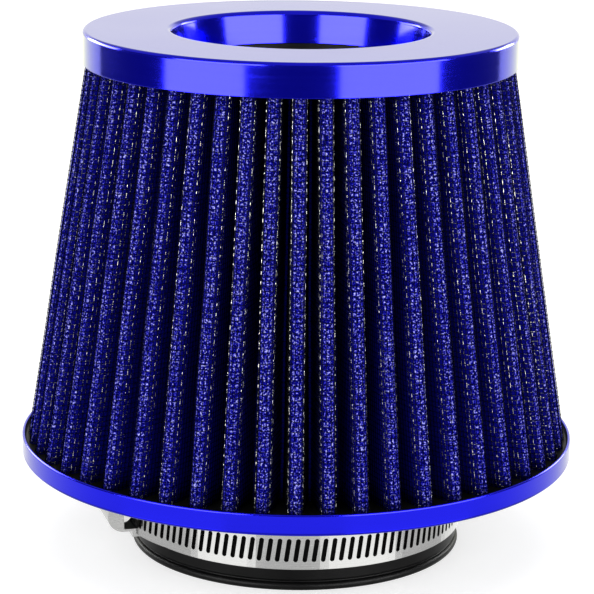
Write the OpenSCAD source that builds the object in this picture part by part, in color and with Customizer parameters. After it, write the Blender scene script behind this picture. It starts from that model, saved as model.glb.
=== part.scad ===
// Cone air filter for a 76 mm intake pipe.
// Millimetres, +Z up. The origin is the centre of the neck's bottom lip, on which the filter stands.
// The intake pipe goes into the neck from below. Angles are counted anticlockwise from +X, seen from above.

/* [Pleated cone] */
// Radius over the tips of the folds at the foot of the cone
cone_base_r = 73.55; // [68:0.05:82]
// Radius over the tips of the folds at the top of the cone
cone_top_r = 56.65; // [52:0.05:64]
// Height of the pleated cone between its two mouldings
cone_h = 104.85; // [60:0.05:160]
// Number of folds round the cone
pleat_count = 54; // [40:1:60]
// Depth of each fold, from its tip inwards
pleat_depth = 14; // [10:0.5:17]
// Share of the pitch that a fold's outer ridge fills
ridge_share = 0.54; // [0.5:0.01:0.6]
// Thickness of the wire mesh on each side of the gauze
mesh_t = 0.25; // [0.15:0.05:0.35]
// Thickness of the cotton gauze
gauze_t = 1; // [0.6:0.1:1.1]
// Play between the gauze and the mesh on the flanks
layer_play = 0.05; // [0.03:0.01:0.08]
// How far the mesh stands off the gauze over the ridges
ridge_play = 0.6; // [0.3:0.1:0.9]
// Half the space left between two folds at their root
root_space = 0.25; // [0.15:0.05:0.3]

/* [Base moulding] */
// Radius of the bore that the intake pipe goes into
neck_bore_r = 38; // [30:0.5:40]
// Wall of the neck
neck_wall = 6.4; // [4:0.1:8]
// Straight neck left above the clamp's band
neck_spare = 2.2; // [0.4:0.05:12]
// Height of the rounded bead round the neck's lip
bead_h = 2.2; // [1.6:0.1:3]
// How far the bead stands out from the neck
bead_out = 0.6; // [0.3:0.1:1.5]
// Depth of the groove above the bead
groove_depth = 0.5; // [0.2:0.1:1]
// Height of the groove above the bead
groove_h = 0.8; // [0.5:0.1:1.5]
// Radius where the bore opens into the cone
mouth_round = 3; // [1:0.5:4]
// Radius on the inner edge of the lip
lip_round = 0.8; // [0.4:0.1:1.2]
// Depth of the flange's belly below the ring's lower edge
belly_drop = 3.65; // [2:0.05:4]
// Radius between the neck and the belly
neck_fillet = 3.2; // [1:0.1:3.5]
// Width of the slope that leads from the belly out to the ring
belly_slope = 8; // [3:0.5:10]

/* [Base ring] */
// Height of the ring
ring_h = 5.65; // [4.5:0.05:9]
// Thickness of the ring's sheet
ring_t = 0.9; // [0.6:0.1:1.2]
// Space between the fold tips and the ring's inner face
ring_play = 0.55; // [0.3:0.05:1.5]
// Width of the foot that turns in under the moulding
ring_foot = 4; // [2:0.5:6]
// How far the ring's rim stands above the moulding
rim_up = 1.15; // [0.5:0.05:2]
// Radius along the ring's lower edge
ring_round = 0.8; // [0.3:0.1:0.8]

/* [Top cap] */
// Thickness of the cap's sheet
cap_t = 0.8; // [0.5:0.1:1.1]
// Height of the band round the outside of the cap
cap_band_h = 6.7; // [6.5:0.1:14]
// Space between the fold tips and the band, at the band's lower edge
cap_play = 0.2; // [0.1:0.05:0.6]
// Width of the cap's flat face, from its outer edge to the mouth of the well
face_w = 23.5; // [20:0.1:30]
// Depth of the blue wall of the well
well_h = 8.8; // [6:0.1:12]
// How far the well narrows towards its foot
well_taper = 1.4; // [0.3:0.1:2]
// Outer radius of the cap's edge
cap_round = 0.9; // [0.8:0.1:2.5]
// Outer radius of the well's lip
well_round = 1.3; // [1.2:0.1:3]

/* [Top moulding] */
// Thickness of the moulding above the folds
seal_t = 5.4; // [4:0.1:7]
// Thickness of the closed floor in the well
floor_t = 3; // [2:0.1:5]
// Depth of the floor below the cap's inner wall
dish_depth = 4.4; // [2.5:0.1:8]
// Wall of the plug round the dish, inside the folds
plug_wall = 4; // [2:0.5:5]
// Radius between the wall and the floor of the dish
dish_round = 1.8; // [1:0.1:2.4]
// Width of the black ledge inside the cap's inner wall
ledge = 0.3; // [0.2:0.1:1.5]
// Play between a moulding and the sheet metal that it carries
seat_play = 0.05; // [0.03:0.01:0.08]

/* [Hose clamp] */
// Width of the clamp's band
band_w = 10.5; // [9:0.5:13]
// Thickness of the band
band_t = 0.8; // [0.5:0.05:0.9]
// Height of the band's lower edge above the lip
band_z = 6.1; // [4.2:0.1:6.3]
// Length of a slot
slot_l = 6.4; // [5:0.1:8]
// Width of a slot
slot_w = 1.25; // [0.7:0.05:1.3]
// Slots round the band
slot_count = 118; // [80:1:118]
// Lean of the slots
slot_lean = 8; // [0:1:12]
// Angle of the worm housing round the neck
housing_angle = 196; // [0:1:359]
// Length of the worm housing
housing_l = 12.5; // [10:0.5:15]
// Thickness of the housing's sheet
housing_t = 0.7; // [0.5:0.05:0.9]
// Thickness of the saddle between the two layers of the band
saddle_t = 0.6; // [0.4:0.05:0.8]
// Number of slots along the tail, past the saddle
tail_slots = 11; // [5:1:20]
// Size of the corners cut off the band's tail
tail_corner = 3; // [1:0.5:4]
// Radius of the worm screw at the bottom of its thread
worm_r = 2.9; // [2.6:0.05:3.2]
// Depth of the worm's thread
thread_depth = 0.7; // [0.4:0.05:0.8]
// Thickness of the housing's two end walls
end_wall_t = 0.8; // [0.5:0.1:1.2]
// Depth from the open end of the housing to the tip of the screw
tip_depth = 3; // [1.5:0.1:4]
// Radius of the screw's journal in the housing
journal_r = 2.2; // [1.8:0.05:2.4]
// Running play of the screw's journal in the housing
journal_play = 0.05; // [0.03:0.01:0.08]
// Width across the flats of the screw's head
head_af = 6; // [5:0.1:6]
// Length of the screw's head
head_l = 5.5; // [4:0.5:7]
// Width of the slot for the screwdriver
drive_slot_w = 1; // [0.8:0.1:1.4]
// Depth of the slot for the screwdriver
drive_slot_depth = 1.6; // [1:0.1:2.2]

/* [Hidden] */
$fn = 96;

anodised_blue = [0.13, 0.13, 0.95];
cotton_blue = [0.10, 0.10, 0.70];
wire_grey = [0.55, 0.56, 0.58];
rubber_black = [0.07, 0.07, 0.08];
bright_steel = [0.78, 0.78, 0.77];

pitch = 360 / pleat_count;
laminate_t = 2 * mesh_t + gauze_t + 2 * layer_play;

fold_points = 8;
wide_bend_points = 5;
tight_bend_points = fold_points - wide_bend_points;
belly_z = band_z + band_w + neck_spare + neck_fillet;
neck_h = belly_z + belly_drop;
flange_top = neck_h + ring_h - rim_up;
cone_top = flange_top + cone_h;
seal_top = cone_top + seal_t;
cap_top = seal_top + cap_t;
cap_band_z = cap_top - cap_band_h;
well_foot = cap_top - well_h;
dish_floor = well_foot - dish_depth;

neck_r = neck_bore_r + neck_wall;
bead_r = neck_r + bead_out;
groove_r = neck_r - groove_depth;
ring_in_r = cone_base_r + ring_play;
ring_r = ring_in_r + ring_t;
foot_in_r = ring_r - ring_foot;
cap_in_r = tip_r(cap_band_z) + cap_play;
cap_r = cap_in_r + cap_t;
least_bend = 0.2;
cap_bend = max(cap_round - cap_t, least_bend);
well_r = cap_r - face_w;

band_in_r = neck_r + seat_play;
band_out_r = band_in_r + band_t;
saddle_in_r = band_out_r + seat_play;
saddle_out_r = saddle_in_r + saddle_t;
over_in_r = saddle_out_r + seat_play;
over_out_r = over_in_r + band_t;
band_mid = band_z + band_w / 2;
worm_play = 0.15;
end_play = 0.1;
saddle_over = 0.2;
cut_over = 1;
axis_r = over_out_r + worm_play + worm_r;
chamber_r = worm_r + thread_depth + worm_play;
arch_r = chamber_r + housing_t;
foot_half = band_w / 2 + 2 * seat_play + housing_t;
saddle_half_deg = asin((housing_l / 2 + saddle_over) / saddle_out_r);
slot_pitch = 360 / slot_count;
lift_play_deg = 0.5;
lift_slots = ceil((saddle_half_deg + lift_play_deg) / slot_pitch);
rise_slots = 5;
fall_slots = 2;

// Radius over the fold tips at height z
function tip_r(z) = cone_base_r + (cone_top_r - cone_base_r) * (z - flange_top) / cone_h;

// Points of an arc in the plane of a profile
function arc(centre, r, from, to, steps = 6) =
    [for (i = [0:steps]) let(a = from + (to - from) * i / steps) centre + r * [cos(a), sin(a)]];

// A point beside the middle plane of a fold: rad outwards, side anticlockwise
function beside(rad, side, ang) = [rad * cos(ang) - side * sin(ang), rad * sin(ang) + side * cos(ang)];

// Stations round a half turn, in the number that the bend needs
function bend(points) = [for (i = [0:points - 1]) -90 + 180 * i / (points - 1)];

// One face of the pleated sheet at height z, at a depth below the outer mesh's outer face.
// A fold has crown_points round its outer ridge and root_points round its inner one.
function fold_face(z, depth, stand_off, crown_points, root_points) =
    let(tip = tip_r(z), crown = ridge_share * PI * tip / pleat_count - depth, root = root_space + depth,
        crown_top = tip - depth - stand_off, root_foot = tip - pleat_depth + laminate_t - depth)
    [for (i = [0:pleat_count - 1]) let(ang = -90 + i * pitch)
        each concat(
            [for (b = bend(crown_points))
                concat(beside(crown_top - crown * (1 - cos(b)), crown * sin(b), ang), z)],
            [for (b = bend(root_points))
                concat(beside(root_foot + root * (1 - cos(b)), root * sin(b), ang + pitch / 2), z)])];

// Triangles that close the end of a sheet between its outer face, whose points start at index o, and its
// inner face, whose points start at index n.
// Both faces have fold_points points to a fold.
function end_strip(o, n, count) =
    [for (i = [0:count - 1]) let(j = (i + 1) % count) each [[o + i, o + j, n + j], [o + i, n + j, n + i]]];

// The same where the outer face has five points at the crown and the inner face five at the root
function end_strip_gauze(o, n) =
    [for (i = [0:pleat_count - 1])
        let(next = (i + 1) % pleat_count, a = o + fold_points * i, b = n + fold_points * i,
            a_next = o + fold_points * next, b_next = n + fold_points * next)
        each [
            [a, a + 1, b], [a + 1, b + 1, b], [a + 1, a + 2, b + 1],
            [a + 2, a + 3, b + 1], [a + 3, b + 2, b + 1], [a + 3, a + 4, b + 2],
            [a + 4, a + 5, b + 3], [a + 4, b + 3, b + 2],
            [a + 5, b + 4, b + 3], [a + 5, a + 6, b + 4], [a + 6, b + 5, b + 4],
            [a + 6, b + 6, b + 5], [a + 6, a + 7, b + 6], [a + 7, b + 7, b + 6],
            [a + 7, a_next, b_next], [a + 7, b_next, b + 7]]];

// Wall triangles between a lower ring of points from index low and an upper one from index high
function wall_strip(low, high, count) =
    [for (i = [0:count - 1]) let(j = (i + 1) % count)
        each [[low + i, high + i, high + j], [low + i, high + j, low + j]]];

function flipped(faces) = [for (f = faces) [f[2], f[1], f[0]]];

// A pleated sheet between two depths of the laminate
module pleated_sheet(outer_depth, inner_depth, stand_off, outer_crown, inner_crown) {
    count = fold_points * pleat_count;
    points = [
        each fold_face(flange_top, outer_depth, stand_off, outer_crown, fold_points - outer_crown),
        each fold_face(flange_top, inner_depth, stand_off, inner_crown, fold_points - inner_crown),
        each fold_face(cone_top, outer_depth, stand_off, outer_crown, fold_points - outer_crown),
        each fold_face(cone_top, inner_depth, stand_off, inner_crown, fold_points - inner_crown)];
    same = outer_crown == inner_crown;
    lower_end = same ? end_strip(0, count, count) : end_strip_gauze(0, count);
    upper_end = same ? end_strip(2 * count, 3 * count, count) : end_strip_gauze(2 * count, 3 * count);
    polyhedron(points, [
        each wall_strip(0, 2 * count, count),
        each flipped(wall_strip(count, 3 * count, count)),
        each lower_end,
        each flipped(upper_end)]);
}

// Drawn metal cap: a band round the fold tips, a flat top and the wall of the well
module top_cap() {
    color(anodised_blue)
    rotate_extrude()
    polygon(concat(
        [[cap_in_r, cap_band_z], [cap_r, cap_band_z]],
        arc([cap_r - cap_round, cap_top - cap_round], cap_round, 0, 90),
        arc([well_r + well_round, cap_top - well_round], well_round, 90, 180),
        [[well_r - well_taper, well_foot], [well_r - well_taper + cap_t, well_foot]],
        arc([well_r + well_round, cap_top - well_round], well_round - cap_t, 180, 90),
        arc([cap_in_r - cap_bend, seal_top - cap_bend], cap_bend, 90, 0)));
}

// Moulding that closes the top of the cone, with the dish in its middle
module top_moulding() {
    outer = cap_in_r - seat_play;
    inside = well_r - well_taper + cap_t + seat_play;
    ledge_z = well_foot - seat_play;
    ledge_r = well_r - well_taper - ledge;
    dish_step = 0.5;
    dish_r = ledge_r - dish_step;
    plug_r = dish_r + plug_wall;
    plug_chamfer = floor_t * 0.8;
    color(rubber_black)
    rotate_extrude()
    polygon(concat(
        [[0, dish_floor - floor_t], [plug_r - plug_chamfer, dish_floor - floor_t],
            [plug_r, dish_floor - floor_t + plug_chamfer],
            [plug_r, cone_top], [outer, cone_top],
            [outer, seal_top - cap_round], [outer - cap_round, seal_top], [well_r + well_round, seal_top],
            [inside + well_taper, cap_top - well_round], [inside, ledge_z], [ledge_r, ledge_z]],
        arc([dish_r - dish_round, dish_floor + dish_round], dish_round, 0, -90),
        [[0, dish_floor]]));
}

// Woven wire mesh outside the gauze, folded with it
module outer_mesh() {
    color(wire_grey)
    pleated_sheet(0, mesh_t, 0, wide_bend_points, wide_bend_points);
}

// Cotton gauze, folded into the pleats
module filter_gauze() {
    gauze_depth = mesh_t + layer_play;
    color(cotton_blue)
    pleated_sheet(gauze_depth, gauze_depth + gauze_t, ridge_play, wide_bend_points, tight_bend_points);
}

// Woven wire mesh inside the gauze
module inner_mesh() {
    color(wire_grey)
    pleated_sheet(laminate_t - mesh_t, laminate_t, ridge_play, tight_bend_points, tight_bend_points);
}

// Ring of blue sheet round the base, with a foot turned in under the moulding
module base_ring() {
    rim = ring_t / 2;
    color(anodised_blue)
    rotate_extrude()
    polygon(concat(
        [[foot_in_r, neck_h]],
        arc([ring_r - ring_round, neck_h + ring_round], ring_round, -90, 0),
        arc([ring_r - rim, neck_h + ring_h - rim], rim, 0, 180),
        [[ring_in_r, neck_h + ring_t], [foot_in_r, neck_h + ring_t]]));
}

// Soft moulding that holds the foot of the cone and carries the neck
module base_moulding() {
    outer = ring_in_r - seat_play;
    step_r = foot_in_r - seat_play;
    bead_round = bead_h / 2;
    color(rubber_black)
    rotate_extrude()
    polygon(concat(
        arc([neck_bore_r + lip_round, lip_round], lip_round, 180, 270),
        arc([bead_r - bead_round, bead_round], bead_round, -90, 90, 10),
        [[groove_r, bead_h], [groove_r, bead_h + groove_h / 2], [neck_r, bead_h + groove_h],
            [neck_r, belly_z - neck_fillet]],
        arc([neck_r + neck_fillet, belly_z - neck_fillet], neck_fillet, 180, 90),
        [[step_r - belly_slope, belly_z], [step_r, neck_h], [step_r, neck_h + ring_t + seat_play],
            [outer, neck_h + ring_t + seat_play], [outer, flange_top]],
        arc([neck_bore_r + mouth_round, flange_top - mouth_round], mouth_round, 90, 180)));
}

// Places its children on the housing's middle, with X outwards, Y towards the screw's tip and Z up
module at_housing() {
    rotate([0, 0, housing_angle])
    translate([0, 0, band_mid])
    children();
}

// Radius of the band's inner face, at a count of slots from the housing: the band lies on the neck, climbs
// over the saddle and comes down again to the tail
function band_path_r(slots) =
    lookup(slots, [[-lift_slots - fall_slots, saddle_in_r], [-lift_slots, over_in_r],
        [lift_slots, over_in_r], [lift_slots + rise_slots, band_in_r]]);

// The band's strip from the end of the tail to the end under the saddle, with one bend at every slot pitch
module band_strip() {
    bends = [-lift_slots - tail_slots:slot_count + lift_slots];
    outer_points = [for (i = bends) beside(band_path_r(i) + band_t, 0, i * slot_pitch)];
    inner_points = [for (i = bends) beside(band_path_r(i), 0, i * slot_pitch)];
    count = len(inner_points);
    translate([0, 0, band_z])
    linear_extrude(band_w)
    polygon(concat(outer_points, [for (i = [count - 1:-1:0]) inner_points[i]]));
}

// A slot cutter that reaches through both layers of the band
module slot_cutter() {
    straight = slot_l - slot_w;
    translate([neck_r - cut_over, 0, band_mid])
    rotate([0, 90, 0])
    rotate([0, 0, -slot_lean])
    linear_extrude(over_out_r - neck_r + 2 * cut_over) {
        square([straight, slot_w], center = true);
        for (side = [-1, 1])
            translate([side * straight / 2, 0])
            circle(d = slot_w, $fn = 24);
    }
}

// Cutters for the two corners of the tail, which stop short of the layer below it
module tail_corner_cutters() {
    layer_gap_r = (band_out_r + saddle_in_r) / 2;
    cut_t = 2 * band_t;
    cut_side = tail_corner * sqrt(2);
    rotate([0, 0, (0.5 - lift_slots - tail_slots) * slot_pitch])
    for (side = [-1, 1])
        translate([layer_gap_r * cos(slot_pitch / 2) + cut_t / 2, -layer_gap_r * sin(slot_pitch / 2),
            band_mid + side * band_w / 2])
        rotate([45, 0, 0])
        cube([cut_t, cut_side, cut_side], center = true);
}

// Perforated band: once round the neck, then over the saddle, through the housing and on as a tail
module clamp_band() {
    color(bright_steel)
    rotate([0, 0, housing_angle])
    difference() {
        band_strip();
        for (i = [0:slot_count - 1])
            rotate([0, 0, (i + 0.5) * slot_pitch])
            slot_cutter();
        tail_corner_cutters();
    }
}

// Plate between the two layers of the band, on which the housing stands
module clamp_saddle() {
    color(bright_steel)
    rotate([0, 0, housing_angle - saddle_half_deg])
    rotate_extrude(angle = 2 * saddle_half_deg)
    translate([saddle_in_r, band_mid - foot_half])
    square([saddle_t, 2 * foot_half]);
}

// Arched housing over the worm, with two feet beside the band. The wall at the head end holds the screw's
// journal, and the one at the tip end stops short at the screw's axis, so the band can be seen running in.
module clamp_housing() {
    root_r = saddle_in_r - cut_over;
    foot_top = over_out_r + seat_play + housing_t;
    color(bright_steel)
    difference() {
        at_housing()
        rotate([90, 0, 0])
        translate([0, 0, -housing_l / 2])
        linear_extrude(housing_l) {
            translate([axis_r, 0]) circle(arch_r);
            translate([root_r, -arch_r]) square([axis_r - root_r, 2 * arch_r]);
            translate([root_r, -foot_half]) square([foot_top - root_r, 2 * foot_half]);
        }
        // Seat on the saddle
        translate([0, 0, band_mid - foot_half - cut_over])
        cylinder(r = saddle_out_r, h = 2 * (foot_half + cut_over), $fn = 180);
        // Passage for the band
        translate([0, 0, band_z - seat_play])
        cylinder(r = over_out_r + seat_play, h = band_w + 2 * seat_play, $fn = 180);
        // Chamber for the worm, between the two end walls
        at_housing()
        rotate([90, 0, 0])
        translate([0, 0, -housing_l / 2 + end_wall_t])
        linear_extrude(housing_l - 2 * end_wall_t) {
            translate([axis_r, 0]) circle(chamber_r);
            translate([saddle_in_r, -chamber_r]) square([axis_r - saddle_in_r, 2 * chamber_r]);
        }
        // Opening at the tip end, from the band out to the axis
        at_housing()
        translate([saddle_in_r, 0, -chamber_r])
        cube([axis_r - saddle_in_r, housing_l, 2 * chamber_r]);
        // Bearing for the screw's journal
        at_housing()
        rotate([90, 0, 0])
        translate([axis_r, 0, 0])
        cylinder(r = journal_r + journal_play, h = housing_l);
    }
}

// Worm screw, with its head past the collar
module clamp_screw() {
    washer_t = 0.7;
    washer_over = 0.25;
    washer_r = head_af / 2 + washer_over;
    head_z = housing_l / 2 + end_play;
    color(bright_steel)
    at_housing()
    rotate([90, 0, 0])
    translate([axis_r, 0, 0])
    difference() {
        union() {
            translate([0, 0, -housing_l / 2 + tip_depth])
            cylinder(r = worm_r, h = housing_l - tip_depth - end_wall_t - end_play);
            cylinder(r = journal_r, h = head_z + washer_t / 2);
            translate([0, 0, head_z])
            cylinder(r = washer_r, h = washer_t);
            translate([0, 0, head_z + washer_t])
            cylinder(d = head_af / cos(30), h = head_l - washer_t, $fn = 6);
        }
        translate([0, 0, head_z + head_l + (cut_over - drive_slot_depth) / 2])
        cube([drive_slot_w, head_af * 2, drive_slot_depth + cut_over], center = true);
    }
}

top_cap();
top_moulding();
outer_mesh();
filter_gauze();
inner_mesh();
base_ring();
base_moulding();
clamp_band();
clamp_saddle();
clamp_housing();
clamp_screw();
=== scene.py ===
import math

import bmesh
import bpy
from mathutils import Matrix, Quaternion, Vector, noise


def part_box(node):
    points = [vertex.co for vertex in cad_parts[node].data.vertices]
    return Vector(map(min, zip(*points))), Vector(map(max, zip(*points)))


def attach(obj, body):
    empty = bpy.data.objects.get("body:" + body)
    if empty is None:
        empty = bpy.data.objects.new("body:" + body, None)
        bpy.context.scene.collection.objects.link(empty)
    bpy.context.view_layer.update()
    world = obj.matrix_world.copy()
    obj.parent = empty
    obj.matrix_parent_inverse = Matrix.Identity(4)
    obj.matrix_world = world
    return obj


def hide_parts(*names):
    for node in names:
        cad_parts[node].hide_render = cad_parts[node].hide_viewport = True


# Cone air filter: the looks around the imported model. Metres, +Z up, the neck's lip on the floor.
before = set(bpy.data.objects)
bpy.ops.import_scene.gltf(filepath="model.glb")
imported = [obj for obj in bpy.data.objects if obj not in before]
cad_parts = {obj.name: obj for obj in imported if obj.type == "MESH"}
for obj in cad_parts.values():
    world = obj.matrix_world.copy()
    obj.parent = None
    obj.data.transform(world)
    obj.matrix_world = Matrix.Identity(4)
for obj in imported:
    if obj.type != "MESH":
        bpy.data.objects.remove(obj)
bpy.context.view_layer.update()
scene = bpy.context.scene
scene.view_settings.view_transform = "Standard"
mm = 0.001
fullTurn = 2 * math.pi
print("frame loaded")


# Camera

cameraView = {
    "distance": 0.6746,  # in front of the filter's axis
    "height": 0.2389,  # above the floor
    "pitch": 14.22,  # degrees down
    "yaw": -0.02,  # degrees to the right
    "roll": 0.69,  # degrees anticlockwise
    "focalPixels": 2561,  # for a picture 594 pixels wide
    "pictureWidth": 594,
    "sensor": 36,  # millimetres wide
    "near": 0.01,
    "far": 20,
}


def makeCamera(user):
    data = bpy.data.cameras.new("camera")
    data.sensor_width = user["sensor"]
    data.lens = user["focalPixels"] * user["sensor"] / user["pictureWidth"]
    data.clip_start = user["near"]
    data.clip_end = user["far"]
    camera = bpy.data.objects.new("camera", data)
    scene.collection.objects.link(camera)
    pitch = math.radians(user["pitch"])
    yaw = math.radians(user["yaw"])
    direction = Vector((math.sin(yaw) * math.cos(pitch), math.cos(yaw) * math.cos(pitch), -math.sin(pitch)))
    turn = direction.to_track_quat("-Z", "Y") @ Quaternion((0, 0, 1), math.radians(user["roll"]))
    camera.location = (0, -user["distance"], user["height"])
    camera.rotation_mode = "QUATERNION"
    camera.rotation_quaternion = turn
    scene.camera = camera


makeCamera(cameraView)


# Main sizes, in millimetres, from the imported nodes

capLow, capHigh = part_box("top_cap")
ringLow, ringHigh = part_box("base_ring")
coneLow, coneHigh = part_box("outer_mesh")
bandLow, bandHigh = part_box("clamp_band")
coneFoot = coneLow.z / mm
coneTop = coneHigh.z / mm

pleatShape = {
    "count": 54,
    "footR": -coneLow.y / mm,
    "topR": 56.65,
    "depth": 14.0,
    "ridgeR": 1.95,  # half the width of a ridge, the same from the foot to the top
    "rootSpace": 0.25,  # half the space left between two folds at their root
    "laminate": 1.6,  # thickness of the gauze and its two meshes
    "ridgePlay": 0.12,  # how far the inner layers stand off the outer mesh at the ridges
    "wander": 0.3,
    "wanderScale": (70, 70, 22),  # how quickly the folds drift to and fro, along each axis
    "wanderSeed": 7,
    "gather": 6.0,  # degrees by which the folds at the two sides are drawn back
}

wireShape = {
    "radius": 0.10,
    "pitch": 1.27,
    "wave": 0.10,
    "sides": 3,
    "stations": 8,  # along an upright wire
    "foldSteps": (12, 6, 2),  # of the path that spaces the upright wires out
}


# Materials

def newMaterial(name):
    material = bpy.data.materials.new(name)
    material.use_nodes = True
    tree = material.node_tree
    return material, tree, tree.nodes["Principled BSDF"]


def objectCoordinates(tree, scale=(1, 1, 1)):
    coordinates = tree.nodes.new("ShaderNodeTexCoord")
    mapping = tree.nodes.new("ShaderNodeMapping")
    mapping.inputs["Scale"].default_value = scale
    tree.links.new(coordinates.outputs["Object"], mapping.inputs["Vector"])
    return mapping.outputs["Vector"]


def objectAxes(tree):
    coordinates = tree.nodes.new("ShaderNodeTexCoord")
    split = tree.nodes.new("ShaderNodeSeparateXYZ")
    tree.links.new(coordinates.outputs["Object"], split.inputs[0])
    return split.outputs


def noiseTexture(tree, vector, scale, detail=3, roughness=0.5):
    texture = tree.nodes.new("ShaderNodeTexNoise")
    texture.inputs["Scale"].default_value = scale
    texture.inputs["Detail"].default_value = detail
    texture.inputs["Roughness"].default_value = roughness
    tree.links.new(vector, texture.inputs["Vector"])
    return texture.outputs["Fac"]


def streakTexture(tree, scale):
    # Noise drawn out along the axes whose scale is small
    return noiseTexture(tree, objectCoordinates(tree, scale), 1, detail=4, roughness=0.6)


def colourRamp(tree, factor, stops):
    ramp = tree.nodes.new("ShaderNodeValToRGB")
    elements = ramp.color_ramp.elements
    while len(elements) < len(stops):
        elements.new(0.5)
    for element, (place, colour) in zip(elements, stops):
        element.position = place
        element.color = (*colour, 1)
    tree.links.new(factor, ramp.inputs["Fac"])
    return ramp.outputs["Color"]


def valueRange(tree, factor, low, high):
    spread = tree.nodes.new("ShaderNodeMapRange")
    spread.inputs["To Min"].default_value = low
    spread.inputs["To Max"].default_value = high
    tree.links.new(factor, spread.inputs["Value"])
    return spread.outputs["Result"]


def addBump(tree, shader, height, depth):
    bump = tree.nodes.new("ShaderNodeBump")
    bump.inputs["Strength"].default_value = 1
    bump.inputs["Distance"].default_value = depth
    tree.links.new(height, bump.inputs["Height"])
    tree.links.new(bump.outputs["Normal"], shader.inputs["Normal"])


def mathNode(tree, operation, first, second=None):
    node = tree.nodes.new("ShaderNodeMath")
    node.operation = operation
    for socket, value in zip(node.inputs, (first, second)):
        if value is None:
            continue
        if isinstance(value, (int, float)):
            socket.default_value = value
        else:
            tree.links.new(value, socket)
    return node.outputs[0]


def foldDepth(tree, start, end):
    # 0 on the ridges, rising to 1 down in the folds; with it the materials paint shade into the folds and
    # keep their painted glints off the ridge tops
    axes = objectAxes(tree)
    across = mathNode(tree, "MULTIPLY", axes["X"], axes["X"])
    along = mathNode(tree, "MULTIPLY", axes["Y"], axes["Y"])
    radius = mathNode(tree, "SQRT", mathNode(tree, "ADD", across, along))
    lean = (pleatShape["topR"] - pleatShape["footR"]) / (coneTop - coneFoot)
    foot = (pleatShape["footR"] - lean * coneFoot) * mm
    ridge = mathNode(tree, "ADD", mathNode(tree, "MULTIPLY", axes["Z"], lean), foot)
    depth = mathNode(tree, "SUBTRACT", ridge, radius)
    spread = tree.nodes.new("ShaderNodeMapRange")
    spread.inputs["From Min"].default_value = start * mm
    spread.inputs["From Max"].default_value = end * mm
    tree.links.new(depth, spread.inputs["Value"])
    return spread.outputs["Result"]


def mixColour(tree, factor, first, second):
    mix = tree.nodes.new("ShaderNodeMix")
    mix.data_type = "RGBA"
    tree.links.new(factor, mix.inputs[0])
    for socket, value in ((mix.inputs[6], first), (mix.inputs[7], second)):  # the colour sockets A and B
        if isinstance(value, tuple):
            socket.default_value = (*value, 1)
        else:
            tree.links.new(value, socket)
    return mix.outputs[2]


# Bright blue anodised sheet: a mirror whose colour fades to pale lavender at a grazing look
blueMetalLook = {
    "colour": (0.014, 0.014, 0.65),
    "edgeTint": (1.0, 1.0, 0.78),
    "roughness": (0.08, 0.17),
    "streaks": (25, 25, 1400),  # faint rolling marks that run round the sheet
    "waveScale": 55,
    "waveDepth": 0.00002,
}


def makeBlueMetal(user):
    material, tree, shader = newMaterial("blueMetal")
    shader.inputs["Base Color"].default_value = (*user["colour"], 1)
    shader.inputs["Metallic"].default_value = 1
    shader.inputs["Specular Tint"].default_value = (*user["edgeTint"], 1)
    streaks = streakTexture(tree, user["streaks"])
    tree.links.new(valueRange(tree, streaks, *user["roughness"]), shader.inputs["Roughness"])
    waves = noiseTexture(tree, objectCoordinates(tree), user["waveScale"], detail=1)
    addBump(tree, shader, waves, user["waveDepth"])
    return material


# Soft black moulding, satin, with a fine grain and painted shade under the clamp's band
blackMouldingLook = {
    "colours": ((0.003, 0.003, 0.003), (0.006, 0.006, 0.006)),
    "stops": (0.3, 0.7),
    "cloudScale": 130,
    "roughness": (0.34, 0.46),
    "specular": 0.065,
    "paintedShadeSpecular": 0.008,  # painted shade: the lower reflection on the stretch that shows through the clamp's slots
    "grainScale": 2200,
    "grainDepth": 0.00003,
}


def makeBlackMoulding(user):
    material, tree, shader = newMaterial("blackMoulding")
    vector = objectCoordinates(tree)
    cloud = noiseTexture(tree, vector, user["cloudScale"])
    colour = colourRamp(tree, cloud, list(zip(user["stops"], user["colours"])))
    tree.links.new(colour, shader.inputs["Base Color"])
    tree.links.new(valueRange(tree, cloud, *user["roughness"]), shader.inputs["Roughness"])
    # Painted shade: the sheen is turned down where the clamp's band covers the neck
    height = objectAxes(tree)["Z"]
    above = mathNode(tree, "GREATER_THAN", height, bandLow.z)
    below = mathNode(tree, "LESS_THAN", height, bandHigh.z)
    under = mathNode(tree, "MULTIPLY", above, below)
    specular = valueRange(tree, under, user["specular"], user["paintedShadeSpecular"])
    tree.links.new(specular, shader.inputs["Specular IOR Level"])
    addBump(tree, shader, noiseTexture(tree, vector, user["grainScale"]), user["grainDepth"])
    return material


# Plain woven wire, near black. Its glints are painted into its colour as bright dashes, placed by noise
# and, on the upright wires, by the weave's rhythm; they are kept off the ridge tops and fade to painted
# shade down in the folds
wireLook = {
    "dull": (0.002, 0.002, 0.006),
    "dark": (0.002, 0.002, 0.004),
    "paintedGlint": (0.50, 0.50, 0.48),
    "edgeTint": (0.1, 0.1, 0.1),
    "stops": (0.55, 0.66),
    # painted shade: the colour the wires fade to down in the folds
    "deep": (0.002, 0.002, 0.004),
    "paintedGlintDepth": (0.9, 1.4),  # millimetres below the ridges at which the painted glints start
    "paintedShade": (1.8, 3.4),  # and at which they give way to painted shade
    "roughness": 0.3,
    "cloudScale": 2800,
    "dash": 0.12,  # how much the weave's own rhythm adds to the chance of a painted glint
    "shift": 20,  # radians by which neighbouring wires may be out of that rhythm
    "shiftScale": (500, 500, 8),
}


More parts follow.
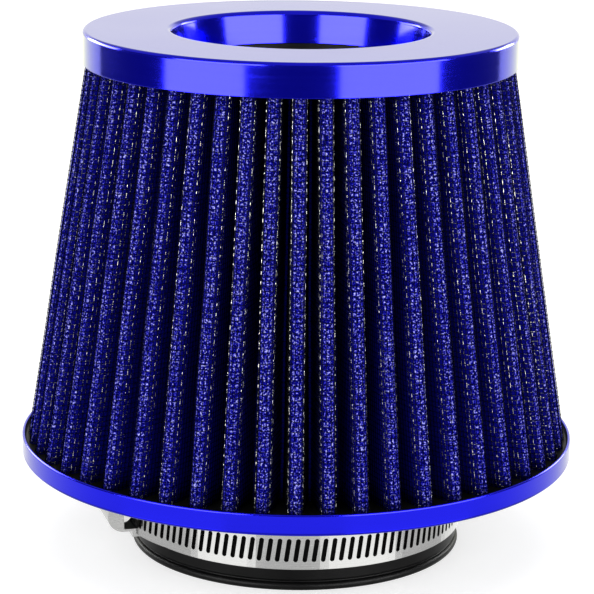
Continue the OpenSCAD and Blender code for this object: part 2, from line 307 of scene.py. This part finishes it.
def makeWire(user, name, alongZ):
    material, tree, shader = newMaterial(name)
    cloud = noiseTexture(tree, objectCoordinates(tree), user["cloudScale"], detail=1)
    if alongZ:
        turns = mathNode(tree, "MULTIPLY", objectAxes(tree)["Z"], math.pi / (wireShape["pitch"] * mm))
        drift = noiseTexture(tree, objectCoordinates(tree, user["shiftScale"]), 1, detail=0)
        shift = mathNode(tree, "MULTIPLY", drift, user["shift"])
        wave = mathNode(tree, "SINE", mathNode(tree, "ADD", turns, shift))
        cloud = mathNode(tree, "ADD", cloud, mathNode(tree, "MULTIPLY", wave, user["dash"]))
    low, high = user["stops"]
    colour = colourRamp(tree, cloud, [(low, user["dark"]), (high, user["paintedGlint"])])
    # Painted glints only from a depth on: the ridge tops keep the dull colour, a painted dark reflection
    colour = mixColour(tree, foldDepth(tree, *user["paintedGlintDepth"]), user["dull"], colour)
    # Painted shade: the wires darken down in the folds
    paintedShade = foldDepth(tree, *user["paintedShade"])
    tree.links.new(mixColour(tree, paintedShade, colour, user["deep"]), shader.inputs["Base Color"])
    shader.inputs["Metallic"].default_value = 1
    shader.inputs["Specular Tint"].default_value = (*user["edgeTint"], 1)
    shader.inputs["Roughness"].default_value = user["roughness"]
    return material


# Blue cotton gauze: threads, darker gaps between them and a few pale fibres, with painted shade down in the
# folds
gauzeLook = {
    "gap": (0.0003, 0.0003, 0.09),
    "thread": (0.003, 0.003, 0.32),
    "lit": (0.030, 0.030, 0.61),
    "fibre": (0.54, 0.54, 1.0),
    "stops": (0.42, 0.50, 0.57, 0.66),
    "threadScale": 2050,
    "bumpDepth": 0.0003,
    "roughness": 0.85,
    "specular": 0.01,
    # painted shade: the colour the gauze fades to down in the folds
    "deep": (0.003, 0.003, 0.19),
    "paintedShade": (0.72, 1.3),  # millimetres below the ridges over which the painted shade comes in
}


def makeGauze(user):
    material, tree, shader = newMaterial("blueGauze")
    threads = noiseTexture(tree, objectCoordinates(tree), user["threadScale"], detail=2, roughness=0.6)
    colours = (user["gap"], user["thread"], user["lit"], user["fibre"])
    colour = colourRamp(tree, threads, list(zip(user["stops"], colours)))
    # Painted shade in the folds
    paintedShade = foldDepth(tree, *user["paintedShade"])
    tree.links.new(mixColour(tree, paintedShade, colour, user["deep"]), shader.inputs["Base Color"])
    shader.inputs["Roughness"].default_value = user["roughness"]
    shader.inputs["Specular IOR Level"].default_value = user["specular"]
    addBump(tree, shader, threads, user["bumpDepth"])
    return material


# Bright rolled stainless steel with a fine lengthwise grain round the neck
steelLook = {
    "colour": (0.50, 0.50, 0.49),
    "roughness": (0.10, 0.22),
    "grain": (90, 90, 5200),
    "grainDepth": 0.000012,
}

# The pressed housing and its saddle are of the same steel, with a darker colour and a rougher finish
pressedLook = {**steelLook, "colour": (0.34, 0.34, 0.335), "roughness": (0.22, 0.34)}


def makeSteel(user, name):
    material, tree, shader = newMaterial(name)
    streaks = streakTexture(tree, user["grain"])
    shader.inputs["Base Color"].default_value = (*user["colour"], 1)
    shader.inputs["Metallic"].default_value = 1
    tree.links.new(valueRange(tree, streaks, *user["roughness"]), shader.inputs["Roughness"])
    addBump(tree, shader, streaks, user["grainDepth"])
    return material


blueMetal = makeBlueMetal(blueMetalLook)
blackMoulding = makeBlackMoulding(blackMouldingLook)
weftWire = makeWire(wireLook, "weftWire", False)
warpWire = makeWire(wireLook, "warpWire", True)
blueGauze = makeGauze(gauzeLook)
clampSteel = makeSteel(steelLook, "clampSteel")
pressedSteel = makeSteel(pressedLook, "pressedSteel")
print("materials made")


# Mesh helpers

turnWeld = 0.000001  # metres within which the points of a turned shape are merged
foldWeld = 0.000005  # and those where two folds meet in a valley


def addPiece(bm, name, material, body):
    mesh = bpy.data.meshes.new(name)
    bm.to_mesh(mesh)
    bm.free()
    mesh.shade_smooth()
    mesh.materials.append(material)
    piece = bpy.data.objects.new(name, mesh)
    scene.collection.objects.link(piece)
    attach(piece, body)
    return piece


def arcPoints(centre, radius, start, end, steps=9):
    points = []
    for i in range(steps + 1):
        angle = math.radians(start + (end - start) * i / steps)
        points.append((centre[0] + radius * math.cos(angle), centre[1] + radius * math.sin(angle)))
    return points


def heldCorners(points, hold, closed):
    # A point close to each end of a long side keeps the shading of flat faces flat
    held = []
    count = len(points)
    for i in range(count if closed else count - 1):
        start = Vector(points[i])
        end = Vector(points[(i + 1) % count])
        held.append(start)
        side = end - start
        if side.length > 5 * hold:
            held.append(start + side.normalized() * hold)
            held.append(end - side.normalized() * hold)
    if not closed:
        held.append(Vector(points[-1]))
    return held


def lathe(points, closed=True, steps=256, hold=0.12):
    # Spins a profile of radius and height, in millimetres, round the filter's axis
    bm = bmesh.new()
    verts = [bm.verts.new((p[0] * mm, 0, p[1] * mm)) for p in heldCorners(points, hold, closed)]
    edges = [bm.edges.new(pair) for pair in zip(verts, verts[1:])]
    if closed:
        edges.append(bm.edges.new((verts[-1], verts[0])))
    bmesh.ops.spin(
        bm, geom=verts + edges, cent=(0, 0, 0), axis=(0, 0, 1), angle=fullTurn, steps=steps, use_merge=True
    )
    bmesh.ops.remove_doubles(bm, verts=bm.verts[:], dist=turnWeld)
    bmesh.ops.recalc_face_normals(bm, faces=bm.faces[:])
    return bm


def repeatRound(bm, count):
    # Copies what is in the mesh round the axis until there are count of them
    geometry = bm.verts[:] + bm.edges[:] + bm.faces[:]
    bmesh.ops.spin(
        bm,
        geom=geometry,
        cent=(0, 0, 0),
        axis=(0, 0, 1),
        angle=fullTurn * (count - 1) / count,
        steps=count - 1,
        use_duplicate=True,
    )


# Turned shapes: the cap, the ring and the two mouldings, in millimetres

topCapShape = {
    "outerR": capHigh.y / mm,
    "top": capHigh.z / mm,
    "bandFoot": capLow.z / mm,
    "sheet": 0.8,
    "edgeRound": 0.9,
    "faceWidth": 23.5,
    "wellDepth": 8.8,
    "wellTaper": 1.4,
    "lipRound": 1.3,
}


def makeTopCap(user):
    sheet = user["sheet"]
    edge = (user["outerR"] - user["edgeRound"], user["top"] - user["edgeRound"])
    wellR = user["outerR"] - user["faceWidth"]
    lip = (wellR + user["lipRound"], user["top"] - user["lipRound"])
    footR = wellR - user["wellTaper"]
    foot = user["top"] - user["wellDepth"]
    points = [(user["outerR"] - sheet, user["bandFoot"]), (user["outerR"], user["bandFoot"])]
    points += arcPoints(edge, user["edgeRound"], 0, 90)
    points += arcPoints(lip, user["lipRound"], 90, 180)
    points += [(footR, foot), (footR + sheet, foot)]
    points += arcPoints(lip, user["lipRound"] - sheet, 180, 90)
    points += arcPoints(edge, user["edgeRound"] - sheet, 90, 0)
    piece = addPiece(lathe(points), "topCap", blueMetal, "filter")
    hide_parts("top_cap")


makeTopCap(topCapShape)

baseRingShape = {
    "outerR": ringHigh.y / mm,
    "foot": ringLow.z / mm,
    "rim": ringHigh.z / mm,
    "sheet": 0.9,
    "footWidth": 4.0,
    "edgeRound": 0.8,
}


def makeBaseRing(user):
    sheet = user["sheet"]
    outer = user["outerR"]
    edge = (outer - user["edgeRound"], user["foot"] + user["edgeRound"])
    points = [(outer - user["footWidth"], user["foot"])]
    points += arcPoints(edge, user["edgeRound"], -90, 0)
    points += arcPoints((outer - sheet / 2, user["rim"] - sheet / 2), sheet / 2, 0, 180)
    points += [(outer - sheet, user["foot"] + sheet), (outer - user["footWidth"], user["foot"] + sheet)]
    piece = addPiece(lathe(points), "baseRing", blueMetal, "filter")
    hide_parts("base_ring")


makeBaseRing(baseRingShape)

baseMouldingShape = {
    "boreR": 38.0,
    "wall": 6.4,
    "lipRound": 0.8,
    "beadH": 2.2,
    "beadOut": 0.6,
    "grooveDepth": 0.5,
    "grooveH": 0.8,
    "mouthRound": 3.0,
    "bellyDrop": 3.65,
    "neckFillet": 3.2,
    "bellySlope": 8.0,
    "ringPlay": 0.05,
}


def makeBaseMoulding(user, ring):
    neckR = user["boreR"] + user["wall"]
    bead = user["beadH"] / 2
    beadR = neckR + user["beadOut"]
    grooveR = neckR - user["grooveDepth"]
    belly = ring["foot"] - user["bellyDrop"]
    fillet = user["neckFillet"]
    stepR = ring["outerR"] - ring["footWidth"] - user["ringPlay"]
    outer = ring["outerR"] - ring["sheet"] - user["ringPlay"]
    ledge = ring["foot"] + ring["sheet"] + user["ringPlay"]
    mouth = (user["boreR"] + user["mouthRound"], coneFoot - user["mouthRound"])
    points = arcPoints((user["boreR"] + user["lipRound"], user["lipRound"]), user["lipRound"], 180, 270)
    points += arcPoints((beadR - bead, bead), bead, -90, 90, steps=14)
    points += [(grooveR, user["beadH"]), (grooveR, user["beadH"] + user["grooveH"] / 2)]
    points += [(neckR, user["beadH"] + user["grooveH"]), (neckR, belly - fillet)]
    points += arcPoints((neckR + fillet, belly - fillet), fillet, 180, 90)
    points += [(stepR - user["bellySlope"], belly), (stepR, ring["foot"]), (stepR, ledge), (outer, ledge)]
    points += [(outer, coneFoot)]
    points += arcPoints(mouth, user["mouthRound"], 90, 180)
    piece = addPiece(lathe(points), "baseMoulding", blackMoulding, "filter")
    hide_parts("base_moulding")


makeBaseMoulding(baseMouldingShape, baseRingShape)

topMouldingShape = {
    "plugWall": 4.0,
    "plugChamfer": 2.4,
    "floor": 3.0,
    "dishDepth": 4.4,
    "dishRound": 1.8,
    "dishStep": 0.5,
    "ledge": 0.3,
    "play": 0.05,
}


def makeTopMoulding(user, cap):
    seal = cap["top"] - cap["sheet"]
    wellFoot = cap["top"] - cap["wellDepth"]
    dish = wellFoot - user["dishDepth"]
    outer = cap["outerR"] - cap["sheet"] - user["play"]
    wellR = cap["outerR"] - cap["faceWidth"]
    footR = wellR - cap["wellTaper"]
    inside = footR + cap["sheet"] + user["play"]
    ledgeR = footR - user["ledge"]
    dishR = ledgeR - user["dishStep"]
    plugR = dishR + user["plugWall"]
    roundR = user["dishRound"]
    under = dish - user["floor"]
    points = [(0, under), (plugR - user["plugChamfer"], under), (plugR, under + user["plugChamfer"])]
    points += [(plugR, coneTop), (outer, coneTop), (outer, seal - cap["edgeRound"])]
    points += [(outer - cap["edgeRound"], seal), (wellR + cap["lipRound"], seal)]
    points += [(inside + cap["wellTaper"], cap["top"] - cap["lipRound"]), (inside, wellFoot - user["play"])]
    points += [(ledgeR, wellFoot - user["play"])]
    points += arcPoints((dishR - roundR, dish + roundR), roundR, 0, -90)
    points += [(0, dish)]
    bm = lathe(points, closed=False)
    piece = addPiece(bm, "topMoulding", blackMoulding, "filter")
    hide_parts("top_moulding")


makeTopMoulding(topMouldingShape, topCapShape)
print("turned pieces made")


# Pleats: the gauze and the two wire meshes follow one fold

pitch = fullTurn / pleatShape["count"]
noise.seed_set(pleatShape["wanderSeed"])


def tipRadius(z):
    share = (z - coneFoot) / (coneTop - coneFoot)
    return pleatShape["footR"] + (pleatShape["topR"] - pleatShape["footR"]) * share


def beside(radius, side, angle):
    # A point at a radius along an azimuth, and a step to the side of it
    return Vector((
        radius * math.cos(angle) - side * math.sin(angle),
        radius * math.sin(angle) + side * math.cos(angle),
        0,
    ))


def foldPath(z, depth, standOff, crownSteps, flankSteps, rootSteps):
    # One fold at height z, from the middle of one valley over the ridge to the middle of the next.
    # It lies at a depth under the face of the outer mesh, and lower still by standOff at the ridge.
    tip = tipRadius(z)
    crown = pleatShape["ridgeR"] - depth
    root = pleatShape["rootSpace"] + depth
    crownTop = tip - depth - standOff
    rootFoot = tip - pleatShape["depth"] + pleatShape["laminate"] - depth
    front = -math.pi / 2
    rising = []
    for i in range(rootSteps + 1):
        bend = math.pi / 2 * i / rootSteps
        radius = rootFoot + root * (1 - math.cos(bend))
        rising.append(beside(radius, root * math.sin(bend), front - pitch / 2))
    ridge = []
    for i in range(crownSteps + 1):
        bend = math.pi * (i / crownSteps - 0.5)
        ridge.append(beside(crownTop - crown * (1 - math.cos(bend)), crown * math.sin(bend), front))
    flank = [rising[-1].lerp(ridge[0], i / flankSteps) for i in range(1, flankSteps)]
    left = rising + flank
    right = [Vector((-p.x, p.y, 0)) for p in reversed(left)]
    path = left + ridge + right
    for p in path:
        p.z = z
    return path


def pathLength(path):
    return sum((b - a).length for a, b in zip(path, path[1:]))


def wander(point):
    # Folds are never quite even: a slow sideways drift that fades out at both ends
    share = (point.z / mm - coneFoot) / (coneTop - coneFoot)
    hold = math.sin(math.pi * min(max(share, 0), 1)) ** 0.5
    place = Vector([a * b for a, b in zip(point, pleatShape["wanderScale"])])
    drift = noise.noise_vector(place)
    return point + Vector((drift.x, drift.y, 0)) * pleatShape["wander"] * mm * hold


def gather(point):
    # Draws the folds back at both sides, so that they stand wider in the front quarters and closer behind
    angle = math.atan2(point.x, -point.y)
    turn = Matrix.Rotation(math.radians(pleatShape["gather"]) * math.sin(angle) ** 3, 3, "Z")
    return turn @ point


def wanderAll(bm):
    for vert in bm.verts:
        vert.co = gather(wander(vert.co))


gauzeShape = {
    "depth": 0.3,
    "thickness": 1.0,
    "rows": 16,
    "foldSteps": (10, 3, 2),
}


def growRow(bm, chain, edges, path):
    # Draws a row of edges out to the next path. Each new point starts in the place of its old one.
    grown = bmesh.ops.extrude_edge_only(bm, edges=edges)["geom"]
    lifted = [g for g in grown if isinstance(g, bmesh.types.BMVert)]
    drawn = [g for g in grown if isinstance(g, bmesh.types.BMEdge) and all(v in lifted for v in g.verts)]
    places = {v.co.copy().freeze(): v for v in lifted}
    moved = [places[v.co.copy().freeze()] for v in chain]
    for vert, point in zip(moved, path):
        vert.co = point * mm
    return moved, drawn


def makeGauzeSheet(user):
    # The sheet's two faces grow from the foot to the top, and a strip closes it at each end
    bm = bmesh.new()
    rows = [coneFoot + (coneTop - coneFoot) * i / user["rows"] for i in range(user["rows"] + 1)]
    ends = []
    for depth in (user["depth"], user["depth"] + user["thickness"]):
        paths = [foldPath(z, depth, pleatShape["ridgePlay"], *user["foldSteps"]) for z in rows]
        chain = [bm.verts.new(p * mm) for p in paths[0]]
        edges = [bm.edges.new(pair) for pair in zip(chain, chain[1:])]
        ends.append(edges)
        for path in paths[1:]:
            chain, edges = growRow(bm, chain, edges, path)
        ends.append(edges)
    bmesh.ops.bridge_loops(bm, edges=ends[0] + ends[2])
    bmesh.ops.bridge_loops(bm, edges=ends[1] + ends[3])
    repeatRound(bm, pleatShape["count"])
    bmesh.ops.remove_doubles(bm, verts=bm.verts[:], dist=foldWeld)
    bmesh.ops.recalc_face_normals(bm, faces=bm.faces[:])
    wanderAll(bm)
    piece = addPiece(bm, "filterGauze", blueGauze, "filter")
    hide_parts("filter_gauze")
    return piece


def foldLength(user, z):
    return pathLength(foldPath(z, user["depth"], pleatShape["ridgePlay"], *user["foldSteps"]))


gauze = makeGauzeSheet(gauzeShape)
gauzeWidth = pleatShape["count"] * foldLength(gauzeShape, (coneFoot + coneTop) / 2) * mm


def startRing(bm, corners):
    ring = [bm.verts.new(c) for c in corners]
    for i in range(len(ring)):
        bm.edges.new((ring[i], ring[(i + 1) % len(ring)]))
    return ring


def extrudeRing(bm, ring, corners):
    # Draws a small ring of wire out to its next place
    edges = [bm.edges.get((ring[i], ring[(i + 1) % len(ring)])) for i in range(len(ring))]
    grown = bmesh.ops.extrude_edge_only(bm, edges=edges)["geom"]
    fresh = {}
    for g in grown:
        if isinstance(g, bmesh.types.BMVert):
            for edge in g.link_edges:
                other = edge.other_vert(g)
                if other in ring:
                    fresh[ring.index(other)] = g
    moved = [fresh[i] for i in range(len(ring))]
    for vert, corner in zip(moved, corners):
        vert.co = corner
    return moved


def wireCorners(point, across, upward):
    # The corners of a wire's cut round a point, in the plane of two directions
    corners = []
    for i in range(wireShape["sides"]):
        angle = fullTurn * i / wireShape["sides"]
        outward = across * math.cos(angle) + upward * math.sin(angle)
        corners.append((point + outward * wireShape["radius"]) * mm)
    return corners


def makeWeft(name, user, rows):
    # The wires that run round the cone, over and under the upright ones
    bm = bmesh.new()
    for row in rows:
        z = coneFoot + wireShape["pitch"] * (row + 0.5)
        path = foldPath(z, user["depth"], user["standOff"], *user["foldSteps"])
        ring = None
        for i, point in enumerate(path):
            if i in (0, len(path) - 1):
                # In the middle of a valley the wire runs level into the next fold
                valley = math.atan2(point.y, point.x) + math.pi / 2
                along = Vector((math.cos(valley), math.sin(valley), 0))
                over = 0
            else:
                along = (path[i + 1] - path[i - 1]).normalized()
                over = wireShape["wave"] * (1 if (i + row) % 2 else -1)
            across = Vector((along.y, -along.x, 0))
            corners = wireCorners(point + across * over, across, Vector((0, 0, 1)))
            ring = startRing(bm, corners) if ring is None else extrudeRing(bm, ring, corners)
    repeatRound(bm, pleatShape["count"])
    bmesh.ops.remove_doubles(bm, verts=bm.verts[:], dist=foldWeld)
    bmesh.ops.recalc_face_normals(bm, faces=bm.faces[:])
    wanderAll(bm)
    return addPiece(bm, name, weftWire, "filter")


def makeWarp(name, user):
    # The upright wires, which follow the folds from the foot to the top
    bm = bmesh.new()
    low = foldPath(coneFoot, user["depth"], user["standOff"], *wireShape["foldSteps"])
    high = foldPath(coneTop, user["depth"], user["standOff"], *wireShape["foldSteps"])
    length = pathLength(low)
    for k in range(user["uprights"]):
        target = length * (k + 0.5) / user["uprights"]
        walked = 0
        for i in range(len(low) - 1):
            step = (low[i + 1] - low[i]).length
            if walked + step >= target:
                break
            walked += step
        share = (target - walked) / step
        foot = low[i].lerp(low[i + 1], share)
        head = high[i].lerp(high[i + 1], share)
        ring = None
        for j in range(wireShape["stations"] + 1):
            point = foot.lerp(head, j / wireShape["stations"])
            corners = wireCorners(point, Vector((1, 0, 0)), Vector((0, 1, 0)))
            ring = startRing(bm, corners) if ring is None else extrudeRing(bm, ring, corners)
    repeatRound(bm, pleatShape["count"])
    bmesh.ops.recalc_face_normals(bm, faces=bm.faces[:])
    wanderAll(bm)
    addPiece(bm, name, warpWire, "filter")


rowCount = int((coneTop - coneFoot) / wireShape["pitch"])

outerMeshShape = {
    "depth": 0.15,
    "standOff": 0,
    "foldSteps": (8, 1, 1),
    "uprights": 24,  # to a fold
}
outerLower = makeWeft("outerWeftLower", outerMeshShape, range(rowCount // 2))
makeWeft("outerWeftUpper", outerMeshShape, range(rowCount // 2, rowCount))
makeWarp("outerWarp", outerMeshShape)
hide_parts("outer_mesh")
print("outer wire mesh made")

innerMeshShape = {
    "depth": 1.45,
    "standOff": pleatShape["ridgePlay"],
    "foldSteps": (2, 1, 1),
    "uprights": 22,  # to a fold
}
innerWeft = makeWeft("innerWeft", innerMeshShape, range(rowCount))
makeWarp("innerWarp", innerMeshShape)
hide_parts("inner_mesh")
print("inner wire mesh made")


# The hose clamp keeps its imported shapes

clampLooks = {
    "clamp_band": clampSteel,
    "clamp_saddle": pressedSteel,
    "clamp_housing": pressedSteel,
    "clamp_screw": clampSteel,
}
for node, steel in clampLooks.items():
    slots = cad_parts[node].material_slots
    slots[0].material = steel
print("clamp finished")


# Studio: a white floor and backdrop, soft white light and panels that only reflections see

studio = {
    "floorR": 3.0,
    "floorSides": 96,
    "floorColour": (0.5, 0.5, 0.5),
    "floorRoughness": 0.9,
    "floorSpecular": 0.1,
    "floorGlow": 0.70,
    "backdropR": 2.9,
    "backdropTop": 5.0,
    "worldStrength": 0.7,
    "panelR": 0.5,
    "low": (0.02, 0.09),  # heights of the panels that the cap's band mirrors
    "high": (0.10, 0.30),  # of those that its well mirrors
    "under": (-0.137, -0.02),  # of the one that the base ring mirrors
    "deep": (-0.30, -0.138),  # and of those that the clamp's band mirrors
    "dark": (0.10, 0.10, 0.25),
    "light": (11.4, 11.4, 11.4),
    "wellLight": (15.5, 15.5, 15.5),
    "pale": (1.35, 1.35, 1.3),
    "paleBack": (1.75, 1.80, 1.28),
    "ring": (1.27, 1.27, 1.27),
    "steelDark": (0.66, 0.66, 0.67),
    "steelLight": (1.75, 1.75, 1.75),
}

# Each panel has two azimuths, in degrees to the right from the camera's side, its heights and its colour
panels = {
    "bandFront": (-27, 19, "low", "dark"),
    "bandFrontRight": (19, 72, "low", "light"),
    "bandSideRight": (72, 121, "low", "dark"),
    "bandFrontLeft": (-70, -27, "low", "light"),
    "bandSideLeft": (-123, -70, "low", "dark"),
    "bandBack": (121, 237, "low", "paleBack"),
    "ringAround": (-180, 180, "under", "ring"),
    "clampFront": (-27, 19, "deep", "steelDark"),
    "clampFrontRight": (19, 72, "deep", "steelLight"),
    "clampSideRight": (72, 121, "deep", "steelDark"),
    "clampFrontLeft": (-70, -27, "deep", "steelLight"),
    "clampSideLeft": (-123, -70, "deep", "steelDark"),
    "clampBack": (121, 237, "deep", "ring"),
    "wellFront": (-18, 18, "high", "dark"),
    "wellFrontRight": (18, 77, "high", "wellLight"),
    "wellSideRight": (77, 116, "high", "dark"),
    "wellFarRight": (116, 140, "high", "wellLight"),
    "wellFrontLeft": (-64, -18, "high", "wellLight"),
    "wellSideLeft": (-105, -64, "high", "dark"),
    "wellFarLeft": (-140, -105, "high", "wellLight"),
    "wellBack": (140, 220, "high", "pale"),
}

lights = {
    "keyLight": {"place": (-0.7, -0.9, 0.9), "target": (0, 0, 0.08), "size": 0.7, "power": 5},
    "fillLight": {"place": (0.8, -0.8, 0.8), "target": (0, 0, 0.08), "size": 0.7, "power": 4},
    "topLight": {"place": (0.0, 0.2, 1.3), "target": (0, 0, 0.05), "size": 1.2, "power": 6},
}


def emissionMaterial(name, colour):
    material = bpy.data.materials.new(name)
    material.use_nodes = True
    tree = material.node_tree
    tree.nodes.clear()
    output = tree.nodes.new("ShaderNodeOutputMaterial")
    emission = tree.nodes.new("ShaderNodeEmission")
    emission.inputs["Color"].default_value = (*colour, 1)
    tree.links.new(emission.outputs["Emission"], output.inputs["Surface"])
    return material


def makeFloor(user):
    bm = bmesh.new()
    bmesh.ops.create_circle(bm, cap_ends=True, segments=user["floorSides"], radius=user["floorR"])
    mesh = bpy.data.meshes.new("floor")
    bm.to_mesh(mesh)
    bm.free()
    floor = bpy.data.objects.new("floor", mesh)
    scene.collection.objects.link(floor)
    material, _, shader = newMaterial("floorPaper")
    shader.inputs["Base Color"].default_value = (*user["floorColour"], 1)
    shader.inputs["Roughness"].default_value = user["floorRoughness"]
    shader.inputs["Specular IOR Level"].default_value = user["floorSpecular"]
    shader.inputs["Emission Color"].default_value = (1, 1, 1, 1)
    shader.inputs["Emission Strength"].default_value = user["floorGlow"]
    mesh.materials.append(material)
    floor.visible_glossy = False


def makePanel(name, start, end, heights, colour, radius, stepAngle=4):
    # An upright curved panel that only reflections see
    bm = bmesh.new()
    first = math.radians(start - 90)
    verts = [bm.verts.new((radius * math.cos(first), radius * math.sin(first), z)) for z in heights]
    edge = bm.edges.new(verts)
    bmesh.ops.spin(
        bm,
        geom=verts + [edge],
        cent=(0, 0, 0),
        axis=(0, 0, 1),
        angle=math.radians(end - start),
        steps=int((end - start) / stepAngle),
    )
    mesh = bpy.data.meshes.new(name)
    bm.to_mesh(mesh)
    bm.free()
    mesh.materials.append(emissionMaterial(name, colour))
    panel = bpy.data.objects.new(name, mesh)
    scene.collection.objects.link(panel)
    panel.visible_camera = False
    panel.visible_diffuse = False
    panel.visible_shadow = False
    panel.visible_transmission = False
    return panel


def makeBackdrop(user):
    # Only the camera sees the backdrop, which keeps low views white above the floor
    backdrop = makePanel("backdrop", -180, 180, (0, user["backdropTop"]), (1, 1, 1), user["backdropR"])
    backdrop.visible_camera = True
    backdrop.visible_glossy = False


def makeWorld(user):
    world = bpy.data.worlds.new("studioWorld")
    world.use_nodes = True
    background = world.node_tree.nodes["Background"]
    background.inputs["Color"].default_value = (1, 1, 1, 1)
    background.inputs["Strength"].default_value = user["worldStrength"]
    scene.world = world


def makeLight(name, user):
    data = bpy.data.lights.new(name, "AREA")
    data.shape = "SQUARE"
    data.size = user["size"]
    data.energy = user["power"]
    light = bpy.data.objects.new(name, data)
    scene.collection.objects.link(light)
    light.location = user["place"]
    light.rotation_mode = "QUATERNION"
    light.rotation_quaternion = (Vector(user["target"]) - Vector(user["place"])).to_track_quat("-Z", "Y")
    light.visible_glossy = False


makeFloor(studio)
makeBackdrop(studio)
makeWorld(studio)
for name, (start, end, heights, colour) in panels.items():
    makePanel(name, start, end, studio[heights], studio[colour], studio["panelR"])
for name, light in lights.items():
    makeLight(name, light)
print("studio made")
